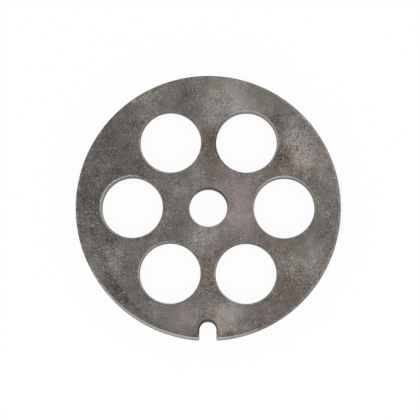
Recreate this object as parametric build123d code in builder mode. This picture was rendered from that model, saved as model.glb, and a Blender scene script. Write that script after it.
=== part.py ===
from build123d import *
from math import pi, sin, sqrt
import os

# Hole plate of a screw-fed meat grinder: one flat steel disc, in millimetres.
# The origin is on the bore axis in the plane of the back face, +Z points out of
# the knife face, and the key notch opens towards -Y.

# Disc
plate_diameter = 70.0
plate_thickness = 5.0
rim_chamfer_front = 0.6
rim_chamfer_back = 0.4

# Centre bore, which runs on the stud at the end of the feed screw
bore_diameter = 10.0
bore_bevel = 0.15

# Ring of holes that the meat is pressed through
hole_count = 6
hole_diameter = 16.0
hole_circle_diameter = 40.0
hole_bevel_front = 0.4
hole_bevel_back = 0.2

# Key notch: straight sides, a round closed end and eased corners at its mouth
notch_width = 4.5
notch_depth = 5.0
notch_mouth_radius = 0.4

# Nicks worn into the front rim edge: where each one is, counter-clockwise from +X in
# degrees, and how far the round dent reaches into the metal
rim_nicks = {125.0: 0.45, 178.0: 0.2, 232.0: 0.25, 238.0: 0.3, 251.0: 0.25}
nick_ball_radius = 0.6

# Sizes that follow from the ones above
plate_radius = plate_diameter / 2
bore_radius = bore_diameter / 2
hole_radius = hole_diameter / 2
hole_circle_radius = hole_circle_diameter / 2
hole_web = 2 * hole_circle_radius * sin(pi / hole_count) - hole_diameter
widest_hole_bevel = hole_web / 4
notch_end_radius = notch_width / 2
notch_end_centre = -(plate_radius - notch_depth + notch_end_radius)


def circles_of(radius):
    """The plate's circular edges of this radius, from the back face to the front."""
    circles = grinder_plate.edges().filter_by(GeomType.CIRCLE)
    return circles.filter_by(lambda edge: abs(edge.radius - radius) < 1e-4).sort_by(Axis.Z)


with BuildPart() as grinder_plate:
    # Turned blank: half of its section, chamfered at both rims, revolved about Z.
    with BuildSketch(Plane.XZ):
        with BuildLine():
            Polyline(
                (0, 0),
                (plate_radius - rim_chamfer_back, 0),
                (plate_radius, rim_chamfer_back),
                (plate_radius, plate_thickness - rim_chamfer_front),
                (plate_radius - rim_chamfer_front, plate_thickness),
                (0, plate_thickness),
                close=True,
            )
        make_face()
    revolve(axis=Axis.Z)

    # Notched outline of the disc, which trims the blank through its thickness.
    with BuildSketch() as outline:
        Circle(plate_radius)
        SlotCenterPoint(
            center=(0, -plate_radius),
            point=(0, notch_end_centre),
            height=notch_width,
            mode=Mode.SUBTRACT,
        )
        fillet(outline.vertices().group_by(Axis.Y)[0], radius=notch_mouth_radius)
    extrude(amount=plate_thickness, mode=Mode.INTERSECT)

    # Bore and ring of holes, straight through.
    Hole(bore_radius)
    with PolarLocations(hole_circle_radius, hole_count):
        Hole(hole_radius)

    # Eased edges: a wider bevel on the knife face, where the knife sweeps over. The
    # bevels of two neighbouring holes always leave half of the web between them.
    front_bevel = min(hole_bevel_front, widest_hole_bevel)
    back_bevel = min(hole_bevel_back, widest_hole_bevel)
    chamfer(circles_of(hole_radius).group_by(Axis.Z)[-1], length=front_bevel)
    chamfer(circles_of(hole_radius).group_by(Axis.Z)[0], length=back_bevel)
    chamfer(circles_of(bore_radius), length=bore_bevel)

    # Nicks: a small ball sunk into the front corner of the rim, past the chamfer.
    for nick_angle, nick_reach in rim_nicks.items():
        corner = plate_radius - rim_chamfer_front / 2
        corner_height = plate_thickness - rim_chamfer_front / 2
        outwards = (nick_ball_radius - nick_reach) / sqrt(2)
        with Locations(Rotation(0, 0, nick_angle)):
            with Locations((corner + outwards, 0, corner_height + outwards)):
                Sphere(nick_ball_radius, mode=Mode.SUBTRACT)

grinder_plate.part.label = "grinder_plate"

os.makedirs("parts", exist_ok=True)
export_step(grinder_plate.part, "parts/grinder_plate.step")
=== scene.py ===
from math import atan2, cos, hypot, pi, radians, sin, sqrt

import bmesh
import bpy
import numpy as np
from mathutils import Matrix, Vector, noise
from mathutils.geometry import delaunay_2d_cdt


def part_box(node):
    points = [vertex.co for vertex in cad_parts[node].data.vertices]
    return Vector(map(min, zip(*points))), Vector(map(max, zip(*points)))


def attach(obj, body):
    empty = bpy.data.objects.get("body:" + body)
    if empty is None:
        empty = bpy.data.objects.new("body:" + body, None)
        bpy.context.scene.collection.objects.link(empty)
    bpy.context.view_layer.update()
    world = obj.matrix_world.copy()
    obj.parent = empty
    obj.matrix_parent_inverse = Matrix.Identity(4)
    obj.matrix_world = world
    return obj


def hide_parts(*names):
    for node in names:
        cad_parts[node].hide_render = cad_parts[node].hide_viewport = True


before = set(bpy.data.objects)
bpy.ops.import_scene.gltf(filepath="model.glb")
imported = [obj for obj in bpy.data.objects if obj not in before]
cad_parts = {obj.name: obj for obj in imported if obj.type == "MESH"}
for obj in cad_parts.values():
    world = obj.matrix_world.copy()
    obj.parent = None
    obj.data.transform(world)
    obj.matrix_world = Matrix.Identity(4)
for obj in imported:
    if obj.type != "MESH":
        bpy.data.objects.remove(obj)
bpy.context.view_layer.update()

# A worn hole plate of a meat grinder, lying on its back face. Lengths are metres, and
# x and y are measured from the bore axis with the key notch towards -Y.

MM = 0.001
NODE = "grinder_plate"
node_low, node_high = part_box(NODE)

# Sizes taken from the frame
THICKNESS = node_high.z - node_low.z
RIM_RADIUS = (node_high.x - node_low.x) / 2
AXIS = Vector(((node_low.x + node_high.x) / 2, node_high.y - RIM_RADIUS, node_low.z))

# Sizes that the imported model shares
RIM_CHAMFER_FRONT = 0.6 * MM
RIM_CHAMFER_BACK = 0.4 * MM
BORE_RADIUS = 5.0 * MM
HOLE_RADIUS = 8.0 * MM
HOLE_CIRCLE_RADIUS = 20.0 * MM
HOLE_COUNT = 6
NOTCH_HALF_WIDTH = 2.25 * MM
NOTCH_DEPTH = 5.0 * MM
NOTCH_MOUTH_RADIUS = 0.4 * MM
NOTCH_END_Y = -(RIM_RADIUS - NOTCH_DEPTH + NOTCH_HALF_WIDTH)

# Worn edges: each hole's bevel is wider on one side, as a countersink that ran off centre.
# For each hole, from the one on +X anticlockwise: the bevel's mean width, how uneven it is,
# and its widest side.
HOLE_BEVELS = (
    (0.34 * MM, 0.40, radians(80)),
    (0.36 * MM, 0.35, radians(75)),
    (0.28 * MM, 0.40, radians(165)),
    (0.43 * MM, 0.45, radians(155)),
    (0.28 * MM, 0.35, radians(160)),
    (0.28 * MM, 0.35, radians(150)),
)
# How each bevel is rubbed and lit, in the same order: its bright side, how bright it is all round,
# and how dark it gets on the far side. The bright side is partly worn steel and partly painted
# highlight, and the dark far side is painted shade.
HOLE_BEVEL_WEAR_AND_LIGHT = (
    (radians(110), 0.35, 0.2),
    (radians(20), 0.25, -0.3),
    (radians(240), 0.4, -0.3),
    (radians(170), 0.4, 0.2),
    (radians(200), 0.4, 0.2),
    (radians(245), 0.4, -0.2),
)
# How dark each hole's wall is painted, in the same order, and the rim's wall: painted shade,
# partly stain.
HOLE_WALL_SHADE_AND_STAIN = (0.95, 0.4, 0.95, 0.8, 0.85, 0.95)
RIM_WALL_SHADE_AND_STAIN = 0.45
BORE_BEVEL = (0.30 * MM, 0.25, radians(45))
BACK_BEVEL = (0.18 * MM, 0.10, radians(90))
NOTCH_EDGE_WEAR = 0.22 * MM
# How much more the notch's end is worn than its sides, as a share of their wear.
NOTCH_END_WEAR = 1.3
# How the bore's bevel and the rim's chamfer are rubbed and lit, in the same way as the holes,
# with painted highlight and painted shade.
BORE_BEVEL_WEAR_AND_LIGHT = (radians(250), 0.1, -0.75)
RIM_CHAMFER_WEAR_AND_LIGHT = (radians(-110), -2.0, -0.15)
# The rim is rubbed and lit on its far side as well, with a fainter painted highlight, in the
# same way but less bright by this factor.
RIM_FAR_WEAR_AND_LIGHT = (radians(15), -0.4, -0.5)
RIM_FAR_BRIGHTNESS = 0.35
# How much darker the notch's bevels are painted; its walls are painted fully dark.
NOTCH_EDGE_DARKENING = -0.8

# Mesh fineness
EDGE_STEP = 0.25 * MM
FRONT_STEP = 0.33 * MM
BACK_STEP = 0.9 * MM
EDGE_GUARD = 0.08 * MM
WALL_ROWS = 5
EASE_POINTS = 7
BEVEL_SHARES = (0.0, 0.1, 0.3, 0.6, 0.85, 1.0)

# Dents in the rim: azimuth from +X, height as a share of the thickness, reach and depth.
RIM_NICKS = (
    (radians(125), 1.0, 0.60 * MM, 0.42 * MM),
    (radians(-128), 0.95, 0.35 * MM, 0.18 * MM),
    (radians(-122), 0.97, 0.40 * MM, 0.20 * MM),
    (radians(-109), 0.95, 0.35 * MM, 0.16 * MM),
    (radians(178), 0.97, 0.40 * MM, 0.14 * MM),
)

# General wear: how large the unevenness is and how deep, and how much deeper on the edges.
BROAD_WEAR_SIZE, BROAD_WEAR = 7 * MM, 0.018 * MM
CLOSE_WEAR_SIZE, CLOSE_WEAR = 0.9 * MM, 0.010 * MM
EDGE_WEAR = 0.035 * MM
NICKED_WIDTH = 1.5 * MM

# ---------------------------------------------------------------- geometry


def arc(centre, radius, start, end, count):
    """Points of an arc from start to end, both included."""
    angles = [start + (end - start) * i / (count - 1) for i in range(count)]
    return [(centre[0] + radius * cos(a), centre[1] + radius * sin(a)) for a in angles]


def steps_along(length, step):
    """How many steps of about this size fill a length."""
    return max(2, round(length / step))


def notched_outline(radius, half_width, end_shift):
    """The disc's outline at one height, anticlockwise from the notch's right mouth corner."""
    ease = NOTCH_MOUTH_RADIUS
    end_y = NOTCH_END_Y + end_shift
    corner_x = half_width + ease
    corner_y = -sqrt((radius - ease) ** 2 - corner_x ** 2)
    mouth = atan2(corner_y, corner_x)
    rim_count = steps_along(2 * pi * RIM_RADIUS, EDGE_STEP)
    side_count = steps_along(NOTCH_DEPTH - NOTCH_HALF_WIDTH, EDGE_STEP)
    end_count = steps_along(pi * NOTCH_HALF_WIDTH, EDGE_STEP)
    rim = arc((0, 0), radius, mouth, pi - mouth, rim_count)
    left_ease = arc((-corner_x, corner_y), ease, pi - mouth, 2 * pi, EASE_POINTS)[1:-1]
    side_ys = [corner_y + (end_y - corner_y) * i / side_count for i in range(side_count)]
    left_side = [(-half_width, y) for y in side_ys]
    end = arc((0, end_y), half_width, pi, 0, end_count)
    right_side = [(half_width, y) for y in reversed(side_ys)]
    right_ease = arc((corner_x, corner_y), ease, -pi, mouth, EASE_POINTS)[1:-1]
    return rim + left_ease + left_side + end + right_side + right_ease


def crowned(share):
    """How far in and how far down a worn bevel is at this share of its width, each from 0 to 1."""
    flat_in, flat_down = 1 - share, share
    round_in, round_down = 1 - sin(share * pi / 2), 1 - cos(share * pi / 2)
    flatness = 0.75
    return (
        flat_in * flatness + round_in * (1 - flatness),
        flat_down * flatness + round_down * (1 - flatness),
    )


def edge_levels(front, back):
    """Rows of an edge from the front face to the back: inset, height, bevel and wall."""
    top, bottom = THICKNESS, 0.0
    rows = [(front + EDGE_GUARD, top, 0.0, 0.0)]
    for share in BEVEL_SHARES:
        inward, down = crowned(share)
        wall = 1.0 if share == 1.0 else 0.0
        rows.append((front * inward, top - front * down, 1.0 - 0.5 * wall, wall))
    wall_top, wall_bottom = top - front, bottom + back
    for i in range(1, WALL_ROWS):
        height = wall_top + (wall_bottom - wall_top) * i / WALL_ROWS
        rows.append((0.0, height, 0.0, 1.0))
    for share in reversed(BEVEL_SHARES[::2] + (1.0,)):
        inward, down = crowned(share)
        wall = 1.0 if share == 1.0 else 0.0
        rows.append((back * inward, bottom + back * down, 1.0 - 0.5 * wall, wall))
    rows.append((back + EDGE_GUARD, bottom, 0.0, 0.0))
    return rows


def uneven(bevel, angle):
    """The width of a bevel that is wider on one side, at this angle round its opening."""
    width, share, widest = bevel
    return width * (1 + share * cos(angle - widest))


def rubbed_and_lit(angle, bright_side, even, darkest):
    """How bright a bevel is rubbed and lit there: 1 on its bright side, with painted highlight,
    below 0 where painted shade darkens it.
    """
    return max(darkest, even + (1 - even) * cos(angle - bright_side))


def hole_rows(centre, radius, front_bevel, back_bevel, wear_and_light, wall_shade_and_stain=1.0):
    """A hole's edge as rows of (x, y, z, bevel, wall), from the front face to the back."""
    count = steps_along(2 * pi * radius, EDGE_STEP)
    columns = []
    for i in range(count):
        angle = 2 * pi * i / count
        levels = edge_levels(uneven(front_bevel, angle), uneven(back_bevel, angle))
        # The bevel's rubbed and lit level: partly wear and painted highlight, painted shade below
        # 0.
        rubbed_and_lit_level = rubbed_and_lit(angle, *wear_and_light)
        columns.append([
            (
                centre[0] + (radius + inset) * cos(angle),
                centre[1] + (radius + inset) * sin(angle),
                height, bevel * rubbed_and_lit_level, wall * wall_shade_and_stain,
            )
            for inset, height, bevel, wall in levels
        ])
    return [list(row) for row in zip(*columns)]


def edge_wear_and_light(x, y):
    """How bright the rim's or the notch's edge is painted there, with painted highlight and shade
    on the rim, and how dark its wall is painted.
    """
    if hypot(x, y) < RIM_RADIUS - NOTCH_DEPTH / 3:
        return NOTCH_EDGE_DARKENING, 1.0
    angle = atan2(y, x)
    far = RIM_FAR_BRIGHTNESS * rubbed_and_lit(angle, *RIM_FAR_WEAR_AND_LIGHT)
    return max(rubbed_and_lit(angle, *RIM_CHAMFER_WEAR_AND_LIGHT), far), RIM_WALL_SHADE_AND_STAIN


def rim_rows():
    """The rim and notch as rows of (x, y, z, bevel, wall). Only the rim is chamfered."""
    rows = []
    for inset, height, bevel, wall in edge_levels(RIM_CHAMFER_FRONT, RIM_CHAMFER_BACK):
        depth = min(THICKNESS - height, height)
        wear = max(0.0, NOTCH_EDGE_WEAR - depth)
        if bevel == wall == 0.0:
            wear += EDGE_GUARD
        end_shift = NOTCH_END_WEAR * wear
        outline = notched_outline(RIM_RADIUS - inset, NOTCH_HALF_WIDTH + wear, end_shift)
        row = []
        for x, y in outline:
            # On the rim, the edge's brightness is partly wear, partly painted highlight and
            # painted shade.
            bright, shade_and_stain = edge_wear_and_light(x, y)
            row.append((x, y, height, bevel * bright, wall * shade_and_stain))
        rows.append(row)
    return rows


def stitched(bm, rows, bevel_layer, wall_layer):
    """Adds an edge's rows and the faces between them, and returns its vertices by row."""
    made = []
    for row in rows:
        verts = []
        for x, y, z, bevel, wall in row:
            vert = bm.verts.new((x, y, z))
            vert[bevel_layer] = bevel
            vert[wall_layer] = wall
            verts.append(vert)
        made.append(verts)
    for upper, lower in zip(made, made[1:]):
        for i in range(len(upper)):
            bm.faces.new((upper[i - 1], upper[i], lower[i], lower[i - 1]))
    return made


def hole_centres():
    """The ring of holes, from the one on +X anticlockwise."""
    angles = [2 * pi * i / HOLE_COUNT for i in range(HOLE_COUNT)]
    return [(HOLE_CIRCLE_RADIUS * cos(a), HOLE_CIRCLE_RADIUS * sin(a)) for a in angles]


def clear_of_edges(x, y, gap, rim_chamfer, hole_bevels):
    """True where a face has metal, at least gap away from every edge's bevel."""
    if hypot(x, y) > RIM_RADIUS - rim_chamfer - gap:
        return False
    if hypot(x, y) < BORE_RADIUS + uneven(BORE_BEVEL, atan2(y, x)) + gap:
        return False
    for centre, bevel in zip(hole_centres(), hole_bevels):
        offset_x, offset_y = x - centre[0], y - centre[1]
        width = uneven(bevel, atan2(offset_y, offset_x))
        if hypot(offset_x, offset_y) < HOLE_RADIUS + width + gap:
            return False
    half_width = NOTCH_HALF_WIDTH + NOTCH_EDGE_WEAR + gap
    end_y = NOTCH_END_Y + NOTCH_END_WEAR * NOTCH_EDGE_WEAR
    in_channel = abs(x) < half_width and y < end_y
    return not in_channel and hypot(x, y - end_y) > half_width


def grid_points(step, rim_chamfer, hole_bevels):
    """Points of a triangular grid over the metal, clear of the edges."""
    row_step = step * sqrt(3) / 2
    half_rows = int(RIM_RADIUS / row_step) + 1
    half_columns = int(RIM_RADIUS / step) + 1
    points = []
    for row in range(-half_rows, half_rows + 1):
        shift = step / 2 if row % 2 else 0.0
        for column in range(-half_columns, half_columns + 1):
            x, y = column * step + shift, row * row_step
            if clear_of_edges(x, y, EDGE_GUARD + 0.6 * step, rim_chamfer, hole_bevels):
                points.append((x, y))
    return points


def fill_face(bm, loops, step, height, rim_chamfer, hole_bevels):
    """Fills a flat face between the outline's loop and the openings' with even triangles."""
    outline, inner = 0, -1
    corners = [vert for loop in loops for vert in loop]
    owners = [number for number, loop in enumerate(loops) for _ in loop]
    edges, start = [], 0
    for loop in loops:
        count = len(loop)
        edges += [(start + i, start + (i + 1) % count) for i in range(count)]
        start += count
    grid = grid_points(step, rim_chamfer, hole_bevels)
    points = [(v.co.x, v.co.y) for v in corners] + grid
    verts = corners + [bm.verts.new((x, y, height)) for x, y in grid]
    owners += [inner] * len(grid)
    inside_the_outline = 1
    found = delaunay_2d_cdt([Vector(p) for p in points], edges, [], inside_the_outline, 1e-9)
    triangles, sources = found[2], found[3]
    for triangle in triangles:
        picked = [sources[i][0] for i in triangle]
        met = {owners[i] for i in picked}
        # A triangle whose corners are all on one opening's loop lies in that opening.
        if len(met) > 1 or met <= {outline, inner}:
            bm.faces.new([verts[i] for i in picked])


def dent_depth(place):
    """How deep the rim's nicks reach at this place."""
    depth = 0.0
    for azimuth, share, reach, deepest in RIM_NICKS:
        centre = Vector((RIM_RADIUS * cos(azimuth), RIM_RADIUS * sin(azimuth), THICKNESS * share))
        away = (place - centre).length / reach
        if away < 1:
            depth = max(depth, deepest * (1 - away * away))
    return depth


def wear_depth(place, bevel, wall):
    """How much metal is gone at this place: a slightly uneven face, rougher edges, and nicks."""
    elsewhere = Vector((7, 3, 1))
    broad = 0.5 + 0.5 * noise.noise(place / BROAD_WEAR_SIZE)
    close = 0.5 + 0.5 * noise.noise(place / CLOSE_WEAR_SIZE + elsewhere)
    depth = BROAD_WEAR * broad + (CLOSE_WEAR + EDGE_WEAR * max(bevel, wall)) * close
    if hypot(place.x, place.y) > RIM_RADIUS - NICKED_WIDTH:
        depth += dent_depth(place)
    return depth


def worn_plate_mesh():
    """The plate's closed mesh: stitched edges, two filled faces, then the wear."""
    bm = bmesh.new()
    # The bevel layer carries the bevels' painted highlight and painted shade, and the wall layer
    # the walls' painted shade and stain.
    bevel_layer = bm.verts.layers.float.new("bevel")
    wall_layer = bm.verts.layers.float.new("wall")
    edges = [rim_rows(), hole_rows((0, 0), BORE_RADIUS, BORE_BEVEL, BORE_BEVEL, BORE_BEVEL_WEAR_AND_LIGHT)]
    holes = zip(hole_centres(), HOLE_BEVELS, HOLE_BEVEL_WEAR_AND_LIGHT, HOLE_WALL_SHADE_AND_STAIN)
    for centre, bevel, wear_and_light, shade_and_stain in holes:
        edges.append(hole_rows(centre, HOLE_RADIUS, bevel, BACK_BEVEL, wear_and_light, shade_and_stain))
    stitches = [stitched(bm, rows, bevel_layer, wall_layer) for rows in edges]
    front_loops = [rows[0] for rows in stitches]
    back_loops = [rows[-1] for rows in stitches]
    back_bevels = (BACK_BEVEL,) * HOLE_COUNT
    fill_face(bm, front_loops, FRONT_STEP, THICKNESS, RIM_CHAMFER_FRONT, HOLE_BEVELS)
    fill_face(bm, back_loops, BACK_STEP, 0.0, RIM_CHAMFER_BACK, back_bevels)
    bmesh.ops.recalc_face_normals(bm, faces=bm.faces)
    bm.normal_update()
    places = [
        vert.co - vert.normal * wear_depth(vert.co, vert[bevel_layer], vert[wall_layer])
        for vert in bm.verts
    ]
    for vert, place in zip(bm.verts, places):
        vert.co = place
    for face in bm.faces:
        face.smooth = True
    mesh = bpy.data.meshes.new("worn_plate")
    bm.to_mesh(mesh)
    bm.free()
    return mesh


# ---------------------------------------------------------------- patina

# The patina, as soft round patches: each one's direction from the bore in
# degrees, its distance from the bore and its reach in millimetres, how much lighter it is,
# and a tint with its strength.
PATCHES = (
    # broad shades: dark and olive on the left, paler at the top and the upper right, partly patina
    # and partly painted light falling off towards the left
    (175, 30, 14, -0.20, "olive", 0.9),
    (220, 33, 9, -0.10, "olive", 0.6),
    (140, 31, 8, -0.15, "olive", 0.5),
    (80, 29, 9, 0.15, "olive", 0.3),
    (30, 27, 7, 0.10, "brown", 0.2),
    (0, 32, 5, 0.0, "olive", 0.8),
    # pale places
    (80, 29, 4, 0.15, "olive", 0.2),
    (87, 25, 3, 0.10, "brown", 0.0),
    (30, 28, 4, 0.15, "olive", 0.4),
    (42, 30, 3, 0.10, "olive", 0.4),
    (210, 27, 4, 0.15, "olive", 0.6),
    (260, 8, 4, 0.20, "brown", 0.2),
    (283, 29, 5, 0.25, "mauve", 0.1),
    (255, 30, 5, 0.10, "mauve", 0.6),
    (337, 30, 4, 0.15, "olive", 0.2),
    # stained places
    (103, 29, 4, -0.10, "olive", 0.2),
    (90, 19, 4, -0.15, "brown", 0.6),
    (90, 12, 3, -0.05, "brown", 1.0),
    (52, 29, 3, -0.10, "brown", 1.1),
    (35, 23, 3, -0.30, "brown", 0.9),
    (27, 21, 3, -0.15, "brown", 0.5),
    (20, 26, 3, -0.10, "brown", 0.5),
    (145, 20, 3, -0.15, "olive", 0.6),
    (170, 9, 4, 0.05, "brown", 0.4),
    (208, 23, 4, -0.05, "mauve", 0.9),
    (270, 16, 3, -0.10, "brown", 0.7),
    (270, 20, 3, 0.0, "brown", 0.6),
    (270, 30, 2, -0.15, "brown", 0.0),
    (279, 33, 2, -0.20, "brown", 0.0),
    (308, 31, 5, 0.0, "brown", 0.9),
    (322, 31, 4, -0.10, "brown", 0.8),
    (326, 23, 3, -0.05, "brown", 0.8),
    # mauve round the bore
    (10, 9, 5, 0.20, "mauve", 1.2),
    (335, 10, 4, 0.10, "mauve", 1.2),
    (55, 11, 4, 0.10, "mauve", 0.9),
)
TINTS = ("brown", "mauve", "olive")
# The patches' edges wander: over what distance and how far, in millimetres, and where the
# noise is read for each direction.
WANDER_SIZE = 3.5
WANDER_REACH = 1.6
WANDER_PLACES = (Vector((17.3, 5.1, 3.7)), Vector((-9.4, 23.6, 11.2)))

# Where the face is smoother or more speckled than elsewhere: direction
# from the bore in degrees, distance and reach in millimetres, and how much.
GRIT_PATCHES = (
    (0, 8, 6, -0.8),
    (320, 8, 4, -0.5),
    (255, 29, 5, -0.9),
    (283, 29, 4, -0.6),
    (70, 30, 5, -0.6),
    (38, 29, 6, 1.1),
    (175, 31, 6, 0.6),
    (202, 31, 6, 0.5),
    (222, 32, 6, 0.5),
    (270, 19, 4, 0.7),
    (305, 32, 4, 0.4),
    (325, 25, 5, 0.4),
)

# Scuffs along the rim: radius at the middle and how it grows per radian, in millimetres,
# half width, middle azimuth from +X, half angle, and how much lighter the face is there.
FACE_EDGE_RADIUS = (RIM_RADIUS - RIM_CHAMFER_FRONT) / MM
SCUFFS = (
    # a dark band on the lower left with a bright line inside it
    (32.3, 4.2, 0.8, radians(-131), radians(20), -0.13),
    (32.0, 2.0, 1.5, radians(-138), radians(24), -0.07),
    (31.3, 4.2, 0.4, radians(-133), radians(20), 0.10),
    # the dark line where the face meets the rim's chamfer, darkest beside the notch
    (FACE_EDGE_RADIUS - 0.1, 0.0, 0.2, radians(-90), radians(60), -0.15),
    (FACE_EDGE_RADIUS - 0.15, 0.0, 0.25, radians(-76), radians(9), -0.22),
    (FACE_EDGE_RADIUS - 0.75, 0.0, 0.2, radians(-77), radians(6), -0.16),
    # lighter at the nick on the upper left
    (FACE_EDGE_RADIUS + 0.1, 0.0, 0.6, radians(125), radians(1.1), 0.5),
    (FACE_EDGE_RADIUS - 0.5, 0.0, 0.5, radians(122), radians(1.5), 0.2),
)


def bump_shape(distance, reach):
    """A soft bump: 1 in its middle, fading to 0 beyond its reach."""
    return np.exp(-((distance / reach) ** 2))


def patch_shape(x, y, azimuth, from_bore, reach):
    """A soft round patch of the face, in the plate's own directions."""
    middle_x = from_bore * cos(radians(azimuth))
    middle_y = from_bore * sin(radians(azimuth))
    return bump_shape(np.hypot(x - middle_x, y - middle_y), reach)


def wander(points, elsewhere):
    """How far the patches are pushed aside at each point, from noise read at another place."""
    strays = [noise.noise(Vector(point) / WANDER_SIZE + elsewhere) for point in points]
    return WANDER_REACH * np.array(strays)


def paint_patina_and_light_falloff(mesh):
    """Writes the patches to the mesh as the attributes tone, grit, brown, mauve and olive."""
    count = len(mesh.vertices)
    places = np.empty(count * 3, np.float32)
    mesh.vertices.foreach_get("co", places)
    x, y, z = (places.reshape(-1, 3) / MM).T
    # The back face has the same kind of patches in other places.
    behind = z < THICKNESS / MM / 2
    x, y = np.where(behind, -y, x), np.where(behind, x, y)
    radius, angle = np.hypot(x, y), np.arctan2(y, x)
    points = np.stack([x, y, z], 1)
    drift_x, drift_y = [wander(points, elsewhere) for elsewhere in WANDER_PLACES]
    x, y = x + drift_x, y + drift_y
    layers = {name: np.zeros(count) for name in ("tone", "grit") + TINTS}
    for azimuth, from_bore, reach, lightness, tint, strength in PATCHES:
        shape = patch_shape(x, y, azimuth, from_bore, reach)
        layers["tone"] += lightness * shape
        layers[tint] += strength * shape
    for azimuth, from_bore, reach, amount in GRIT_PATCHES:
        layers["grit"] += amount * patch_shape(x, y, azimuth, from_bore, reach)
    for scuff_radius, slope, half_width, middle, half_angle, lightness in SCUFFS:
        along = bump_shape(angle - middle, half_angle)
        across = bump_shape(radius - scuff_radius - slope * (angle - middle), half_width)
        layers["tone"] += lightness * along * across
    for name, values in layers.items():
        layer = mesh.attributes.new(name, "FLOAT", "POINT")
        layer.data.foreach_set("value", values.astype(np.float32))


# ---------------------------------------------------------------- materials


class Nodes:
    """Short names for the shader nodes that this script uses."""

    def __init__(self, material):
        material.use_nodes = True
        self.tree = material.node_tree
        self.tree.nodes.clear()

    def add(self, kind, **settings):
        node = self.tree.nodes.new(kind)
        for name, value in settings.items():
            setattr(node, name, value)
        return node

    def feed(self, socket, value):
        if isinstance(value, bpy.types.NodeSocket):
            self.tree.links.new(value, socket)
        else:
            socket.default_value = value

    def math(self, operation, first, second=0.0, clamp=False):
        node = self.add("ShaderNodeMath", operation=operation, use_clamp=clamp)
        self.feed(node.inputs[0], first)
        self.feed(node.inputs[1], second)
        return node.outputs[0]

    def scaled(self, vector, factor):
        node = self.add("ShaderNodeVectorMath", operation="SCALE")
        self.feed(node.inputs[0], vector)
        self.feed(node.inputs["Scale"], factor)
        return node.outputs[0]

    def stretched(self, vector, factors):
        node = self.add("ShaderNodeVectorMath", operation="MULTIPLY")
        self.feed(node.inputs[0], vector)
        self.feed(node.inputs[1], factors)
        return node.outputs[0]

    def noise(self, vector, size, seed, detail=2.0, roughness=0.5):
        """Noise from 0 to 1 whose blotches are about this size, in the vector's units."""
        node = self.add("ShaderNodeTexNoise", noise_dimensions="4D")
        self.feed(node.inputs["Vector"], vector)
        self.feed(node.inputs["W"], seed)
        self.feed(node.inputs["Scale"], 1 / size)
        self.feed(node.inputs["Detail"], detail)
        self.feed(node.inputs["Roughness"], roughness)
        return node

    def span(self, value, low, high, to_low=0.0, to_high=1.0, smooth=True):
        """Maps a value from one range to another and clamps it there."""
        kind = "SMOOTHSTEP" if smooth else "LINEAR"
        node = self.add("ShaderNodeMapRange", interpolation_type=kind)
        for socket, number in zip(node.inputs, (value, low, high, to_low, to_high)):
            self.feed(socket, number)
        return node.outputs[0]

    def mix(self, factor, first, second, blend="MIX"):
        node = self.add("ShaderNodeMix", data_type="RGBA", blend_type=blend)
        self.feed(node.inputs["Factor"], factor)
        self.feed(node.inputs["A"], first)
        self.feed(node.inputs["B"], second)
        return node.outputs["Result"]

    def attribute(self, name):
        return self.add("ShaderNodeAttribute", attribute_name=name).outputs["Fac"]


def grey(red, green, blue):
    """A colour written in the 0 to 255 of a screen, as the linear colour that shaders take."""
    linear = [((c / 255 + 0.055) / 1.055) ** 2.4 for c in (red, green, blue)]
    return (*linear, 1.0)


DARK_STAIN = grey(61, 57, 54)
MID_STEEL = grey(117, 111, 106)
PALE_STEEL = grey(176, 170, 164)
# Bevel steel rubbed bright: partly worn bare, partly painted highlight.
RUBBED_AND_LIT_STEEL = grey(172, 170, 166)
# Painted shade, partly stain, for the walls and the bevels' dark sides.
SHADE_AND_STAIN_STEEL = grey(44, 42, 40)
WALL_STEEL = grey(88, 84, 79)
FLECK_STEEL = grey(184, 180, 174)
TINT_COLOURS = {
    "brown": (1.06, 0.965, 0.91, 1),
    "mauve": (1.03, 0.955, 1.03, 1),
    "olive": (0.955, 1.01, 1.005, 1),
}

WARM_TINT = (1.0, 1.0, 0.98, 1)
COOL_TINT = (0.985, 1.0, 1.012, 1)


# The patina's layers: the size of their blotches in millimetres and how much they count.
CLOUD_SIZE, CLOUD_WEIGHT = 7.0, 0.62
MOTTLE_SIZE, MOTTLE_WEIGHT = 2.0, 0.6
STREAK_SIZE, STREAK_WEIGHT = 0.5, 0.5
GRAIN_SIZE, GRAIN_WEIGHT = 0.5, 1.1
PIT_SIZE, PIT_WEIGHT = 0.45, 0.28
FLECK_SIZE, FLECK_WEIGHT = 0.34, 0.55
GRAINY_SIZE, LEAST_GRAINY = 6.0, 0.25
TINT_SIZE, TINT_WEIGHT = 3.0, 0.5
HUE_SIZE = 1.1
SPECK_SIZE = 0.6
PLAIN_TONE = 0.435
# How strongly the bevels take their painted highlight.
EDGE_RUB_AND_HIGHLIGHT = 0.85
# Brushed along X on the faces, and turned marks round the walls.
STREAK_STRETCH = (0.35, 1.5, 1.0)
TURNING_STRETCH = (0.3, 0.3, 5.0)


def steel_grain(n, mm):
    """The finest grain, which also raises the surface."""
    return n.noise(mm, GRAIN_SIZE, 3.0, 3.0, 0.75).outputs["Fac"]


def how_grainy(n, mm):
    """How speckled the steel is at each place: about 1, less where it is smooth."""
    grainy = n.span(n.noise(mm, GRAINY_SIZE, 4.0, 2.0).outputs["Fac"], 0.35, 0.65, 0.6, 1.4)
    return n.math("MAXIMUM", n.math("ADD", grainy, n.attribute("grit")), LEAST_GRAINY)


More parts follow.
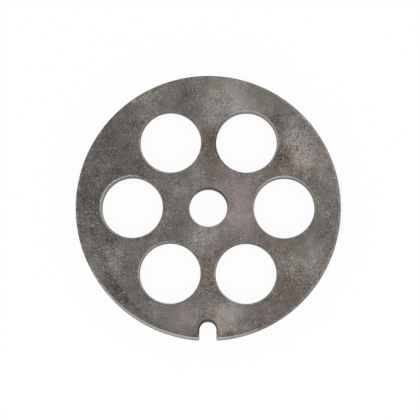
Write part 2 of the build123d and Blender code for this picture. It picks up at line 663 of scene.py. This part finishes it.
def steel_tone(n, mm, grain, grainy):
    """How light the patina is: 0 where it is stained, 0.5 on plain steel, 1 where it is pale."""
    clouds = n.noise(mm, CLOUD_SIZE, 1.0, 3.0).outputs["Fac"]
    mottle = n.noise(mm, MOTTLE_SIZE, 2.0, 3.0).outputs["Fac"]
    streaks = n.noise(n.stretched(mm, STREAK_STRETCH), STREAK_SIZE, 9.0, 2.0).outputs["Fac"]
    mottle_weight = n.math("MULTIPLY", n.math("MINIMUM", grainy, 1.0), MOTTLE_WEIGHT)
    smooth = n.math("SUBTRACT", 1.1, grainy)
    streak_weight = n.math("MULTIPLY", smooth, STREAK_WEIGHT, clamp=True)
    # The patches' broad shades are partly painted light falloff.
    tone = n.math("ADD", n.attribute("tone"), PLAIN_TONE)
    layers = ((clouds, CLOUD_WEIGHT), (mottle, mottle_weight), (streaks, streak_weight))
    for layer, weight in layers:
        tone = n.math("ADD", tone, n.math("MULTIPLY", n.math("SUBTRACT", layer, 0.5), weight))
    speckle = n.math("MULTIPLY", n.math("SUBTRACT", grain, 0.5), grainy)
    tone = n.math("ADD", tone, n.math("MULTIPLY", speckle, GRAIN_WEIGHT))
    pits = n.span(n.noise(mm, PIT_SIZE, 6.0, 1.0, 0.6).outputs["Fac"], 0.40, 0.28)
    sunk = n.math("MULTIPLY", n.math("MULTIPLY", pits, PIT_WEIGHT), grainy)
    return n.math("SUBTRACT", tone, sunk)


def steel_colour(n, mm, tone, grainy):
    """The colour of the faces: stained, plain or pale steel, tinted and flecked."""
    colour = n.mix(n.span(tone, 0.0, 0.5, smooth=False), DARK_STAIN, MID_STEEL)
    colour = n.mix(n.span(tone, 0.5, 1.0, smooth=False), colour, PALE_STEEL)
    for seed, name in enumerate(TINTS):
        drift = n.noise(mm, TINT_SIZE, 10.0 + seed, 3.0).outputs["Fac"]
        drift = n.math("MULTIPLY", n.span(drift, 0.3, 0.7, -0.6, 1.2), TINT_WEIGHT)
        share = n.math("ADD", n.attribute(name), drift, clamp=True)
        colour = n.mix(share, colour, TINT_COLOURS[name], "MULTIPLY")
    hue = n.span(n.noise(mm, HUE_SIZE, 20.0, 2.0).outputs["Fac"], 0.4, 0.6)
    colour = n.mix(1.0, colour, n.mix(hue, WARM_TINT, COOL_TINT), "MULTIPLY")
    flecks = n.span(n.noise(mm, FLECK_SIZE, 5.0, 1.0, 0.6).outputs["Fac"], 0.60, 0.74)
    share = n.math("MULTIPLY", n.math("MULTIPLY", flecks, grainy), FLECK_WEIGHT, clamp=True)
    return n.mix(share, colour, FLECK_STEEL)


def with_rubbed_and_lit_edges(n, mm, colour):
    """Paints the bevels bright where they are worn and lit, as painted highlight, dark elsewhere
    as painted shade, and specks them.
    """
    bevel = n.attribute("bevel")
    # The bevels' bright share is painted highlight, partly wear, and their dark share painted
    # shade.
    bright = n.math("MULTIPLY", bevel, EDGE_RUB_AND_HIGHLIGHT, clamp=True)
    stained = n.math("MULTIPLY", bevel, -1.0, clamp=True)
    colour = n.mix(bright, colour, RUBBED_AND_LIT_STEEL)
    colour = n.mix(stained, colour, SHADE_AND_STAIN_STEEL)
    specks = n.span(n.noise(mm, SPECK_SIZE, 8.0, 1.0).outputs["Fac"], 0.52, 0.60)
    on_edge = n.math("MULTIPLY", n.math("ABSOLUTE", bevel), 6.0, clamp=True)
    on_edge = n.math("MULTIPLY", on_edge, n.math("ADD", n.attribute("grit"), 0.35), clamp=True)
    on_edge = n.math("MULTIPLY", on_edge, n.math("SUBTRACT", 1.0, stained))
    return n.mix(n.math("MULTIPLY", on_edge, specks), colour, FLECK_STEEL)


def with_shaded_stained_walls(n, colour, wall, grain, turning):
    """Colours the sides of the rim and the openings: dark with painted shade and staining, with
    paler turning marks.
    """
    worn_wall = n.math("MULTIPLY", n.math("ADD", turning, grain), 0.5)
    wall_colour = n.mix(n.span(worn_wall, 0.4, 0.62), SHADE_AND_STAIN_STEEL, WALL_STEEL)
    return n.mix(wall, colour, wall_colour)


def worn_steel():
    """Bare steel with a grey patina: stains, brushing, pits, flecks, rubbed edges, and painted
    highlight and shade on the edges and walls.
    """
    material = bpy.data.materials.new("worn_steel")
    n = Nodes(material)
    place = n.add("ShaderNodeTexCoord").outputs["Object"]
    mm = n.scaled(place, 1 / MM)
    grain = steel_grain(n, mm)
    grainy = how_grainy(n, mm)
    tone = steel_tone(n, mm, grain, grainy)
    wall = n.attribute("wall")
    turning = n.noise(n.stretched(mm, TURNING_STRETCH), 1.0, 7.0, 3.0, 0.6).outputs["Fac"]
    colour = with_rubbed_and_lit_edges(n, mm, steel_colour(n, mm, tone, grainy))
    colour = with_shaded_stained_walls(n, colour, wall, grain, turning)
    shader = n.add("ShaderNodeBsdfPrincipled")
    n.feed(shader.inputs["Base Color"], colour)
    n.feed(shader.inputs["Metallic"], 0.8)
    n.feed(shader.inputs["Roughness"], n.span(tone, 0.2, 0.8, 0.58, 0.42, smooth=False))
    bump = n.add("ShaderNodeBump")
    bump.inputs["Strength"].default_value = 0.5
    bump.inputs["Distance"].default_value = 0.03 * MM
    n.feed(bump.inputs["Height"], n.math("ADD", grain, n.math("MULTIPLY", wall, turning)))
    n.feed(shader.inputs["Normal"], bump.outputs[0])
    output = n.add("ShaderNodeOutputMaterial")
    n.feed(output.inputs["Surface"], shader.outputs[0])
    return material


def with_seen_white(n, shader, white_kind, share):
    """Mixes plain white into a shader for camera, glossy and transmission rays."""
    path = n.add("ShaderNodeLightPath")
    seen = n.math("MAXIMUM", path.outputs["Is Camera Ray"], path.outputs["Is Glossy Ray"])
    seen = n.math("MAXIMUM", seen, path.outputs["Is Transmission Ray"])
    white = n.add(white_kind)
    white.inputs["Color"].default_value = (1, 1, 1, 1)
    white.inputs["Strength"].default_value = 1.0
    mixed = n.add("ShaderNodeMixShader")
    n.feed(mixed.inputs[0], n.math("MULTIPLY", seen, share))
    n.feed(mixed.inputs[1], shader)
    n.feed(mixed.inputs[2], white.outputs[0])
    return mixed.outputs[0]


FLOOR_GREY = (0.95, 0.95, 0.95, 1)
FLOOR_WHITE_SHARE = 0.94
FLOOR_HALF_SIDE = 1.5


def floor_white():
    """Pale paper that looks nearly white and still holds the plate's shadow."""
    material = bpy.data.materials.new("floor_white")
    n = Nodes(material)
    paper = n.add("ShaderNodeBsdfDiffuse")
    paper.inputs["Color"].default_value = FLOOR_GREY
    output = n.add("ShaderNodeOutputMaterial")
    seen = with_seen_white(n, paper.outputs[0], "ShaderNodeEmission", FLOOR_WHITE_SHARE)
    n.feed(output.inputs["Surface"], seen)
    return material


# ---------------------------------------------------------------- pieces


def make_plate():
    """The one piece of the visual model: the whole worn plate."""
    mesh = worn_plate_mesh()
    paint_patina_and_light_falloff(mesh)
    plate = bpy.data.objects.new("worn_plate", mesh)
    bpy.context.collection.objects.link(plate)
    plate.location = AXIS
    plate.data.materials.append(worn_steel())
    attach(plate, "root")
    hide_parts(NODE)


def make_floor():
    """A plain square under the plate."""
    mesh = bpy.data.meshes.new("floor")
    half = FLOOR_HALF_SIDE
    corners = [(-half, -half, 0), (half, -half, 0), (half, half, 0), (-half, half, 0)]
    mesh.from_pydata(corners, [], [(0, 1, 2, 3)])
    floor = bpy.data.objects.new("floor", mesh)
    bpy.context.collection.objects.link(floor)
    floor.location = AXIS
    mesh.materials.append(floor_white())


# ---------------------------------------------------------------- light and camera

IMAGE_SIDE = 420
FOCAL_PIXELS = 3978.0
SENSOR_MM = 36.0
# The camera's place and the point it looks at, from the bore axis at floor level.
CAMERA_PLACE = Vector((12.0, -81.0, 1050.0)) * MM
CAMERA_TARGET = Vector((0.41, -0.24, 0.0)) * MM
CAMERA_ROLL = 0.004
# Light: the world's strength, and one large lamp with its place, width and watts.
WORLD_STRENGTH = 0.95
LAMP_PLACE = Vector((0.12, -0.55, 0.40))
LAMP_WIDTH = 0.45
LAMP_POWER = 0.9


def make_camera():
    """The camera stands over the plate, a little towards the notch and the right."""
    data = bpy.data.cameras.new("camera")
    data.sensor_width = SENSOR_MM
    data.lens = SENSOR_MM * FOCAL_PIXELS / IMAGE_SIDE
    data.clip_start, data.clip_end = 0.01, 10
    camera = bpy.data.objects.new("camera", data)
    bpy.context.collection.objects.link(camera)
    forward = (CAMERA_TARGET - CAMERA_PLACE).normalized()
    right = forward.cross(Vector((0, 1, 0))).normalized()
    up = right.cross(forward)
    turn = Matrix((right, up, -forward)).transposed().to_4x4()
    roll = Matrix.Rotation(CAMERA_ROLL, 4, "Z")
    camera.matrix_world = Matrix.Translation(AXIS + CAMERA_PLACE) @ turn @ roll
    bpy.context.scene.camera = camera


def make_light():
    """An even white room and a soft lamp on the notch's side."""
    world = bpy.data.worlds.new("studio")
    bpy.context.scene.world = world
    n = Nodes(world)
    sky = n.add("ShaderNodeBackground")
    sky.inputs["Color"].default_value = (1, 1, 1, 1)
    sky.inputs["Strength"].default_value = WORLD_STRENGTH
    output = n.add("ShaderNodeOutputWorld")
    seen = with_seen_white(n, sky.outputs[0], "ShaderNodeBackground", 1.0)
    n.feed(output.inputs["Surface"], seen)
    data = bpy.data.lights.new("front_lamp", "AREA")
    data.shape = "DISK"
    data.size = LAMP_WIDTH
    data.energy = LAMP_POWER
    lamp = bpy.data.objects.new("front_lamp", data)
    bpy.context.collection.objects.link(lamp)
    lamp.location = AXIS + LAMP_PLACE
    lamp.rotation_euler = (-LAMP_PLACE).to_track_quat("-Z", "Y").to_euler()


make_plate()
make_floor()
make_light()
make_camera()
bpy.context.scene.view_settings.view_transform = "Standard"
